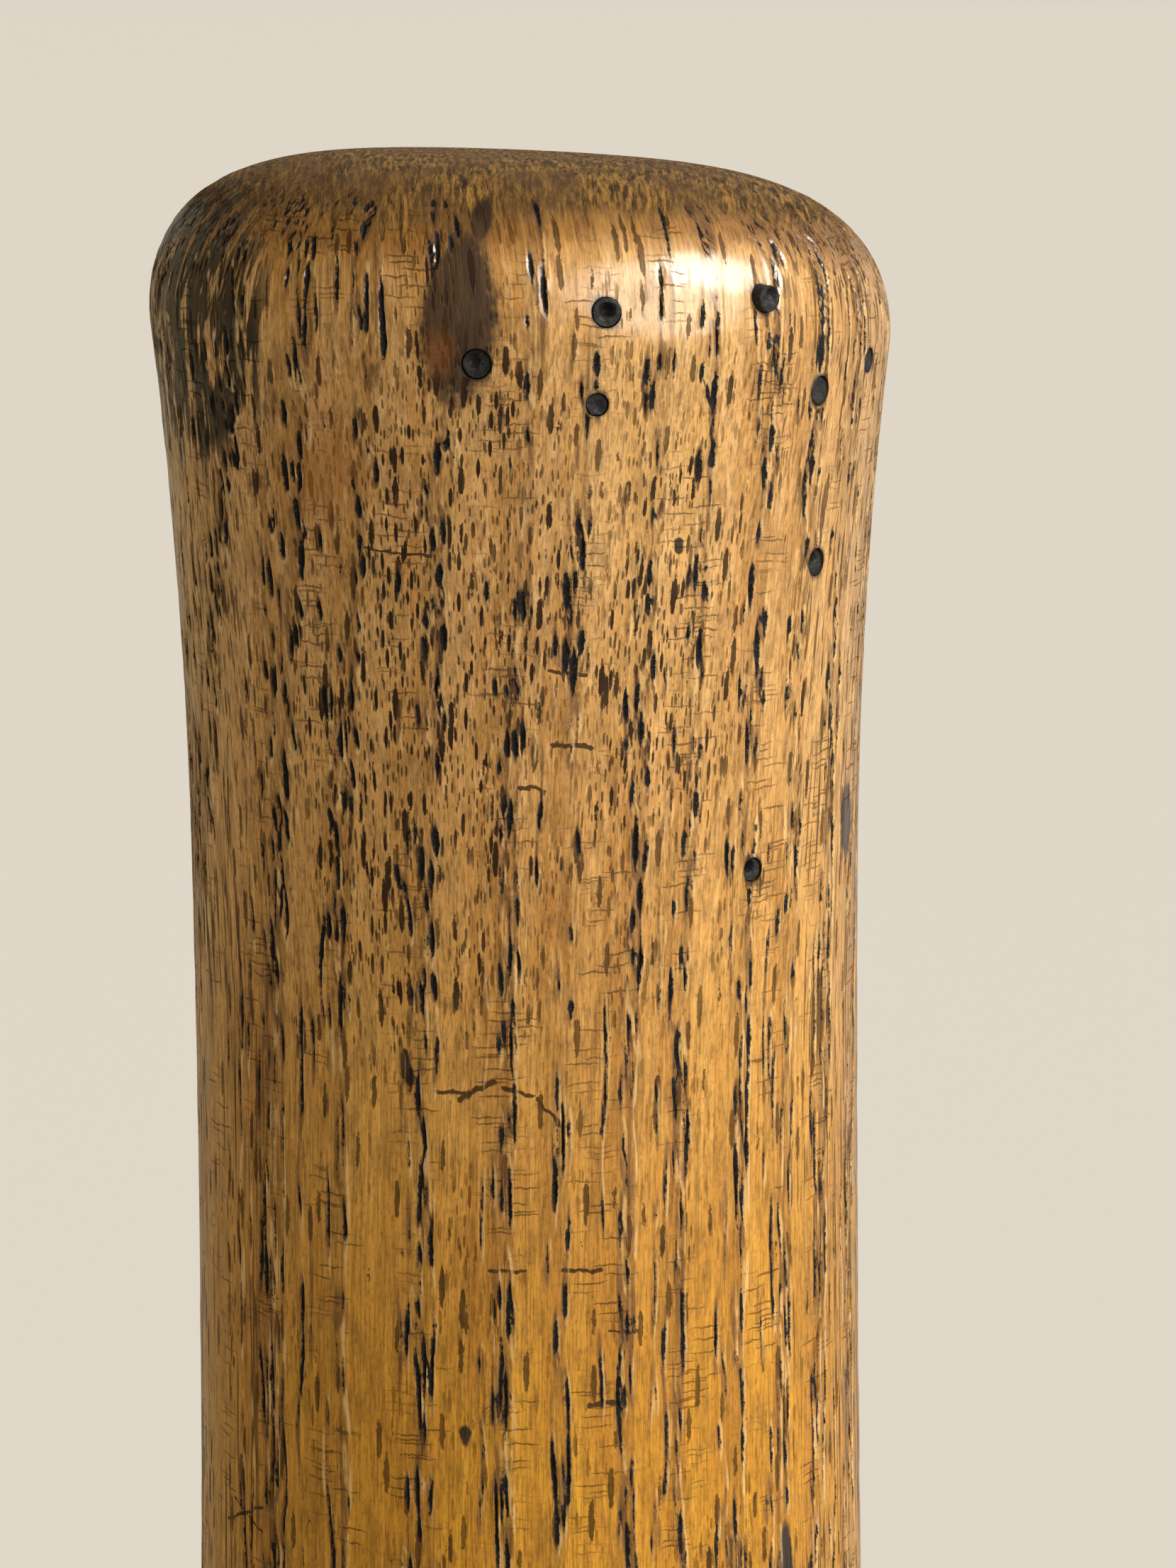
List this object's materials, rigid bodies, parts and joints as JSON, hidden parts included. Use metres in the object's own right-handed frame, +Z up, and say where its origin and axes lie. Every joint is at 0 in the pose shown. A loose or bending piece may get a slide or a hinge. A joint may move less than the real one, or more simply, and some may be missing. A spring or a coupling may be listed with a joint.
{
  "type": "baseball bat",
  "caption": "Solid turned ash baseball bat with a flared handle end and no knob, a long straight taper, a rounded flat-tipped barrel and small wax-stopped beetle holes.",
  "frame": {"origin": "centre of the flat on the barrel end, on the turning axis", "axes": "+Z up the turning axis from the barrel end to the handle end, -Y out of the side with most of the stopped holes, +X to the right of that side; the slanted handle end is higher at -X"},
  "size_m": [0.062, 0.062, 0.8403],
  "materials": {
    "shellacked_ash": "open-grained ash under worn amber shellac, satin gloss",
    "dark_wax": "hard grey-black stopping wax, flush or a little sunk"
  },
  "bodies": {
    "root": {"bat_body": "shellacked_ash", "wax_plug_1": "dark_wax", "wax_plug_2": "dark_wax", "wax_plug_3": "dark_wax", "wax_plug_4": "dark_wax", "wax_plug_5": "dark_wax", "wax_plug_6": "dark_wax", "wax_plug_7": "dark_wax", "wax_plug_8": "dark_wax"}
  },
  "joints": []
}
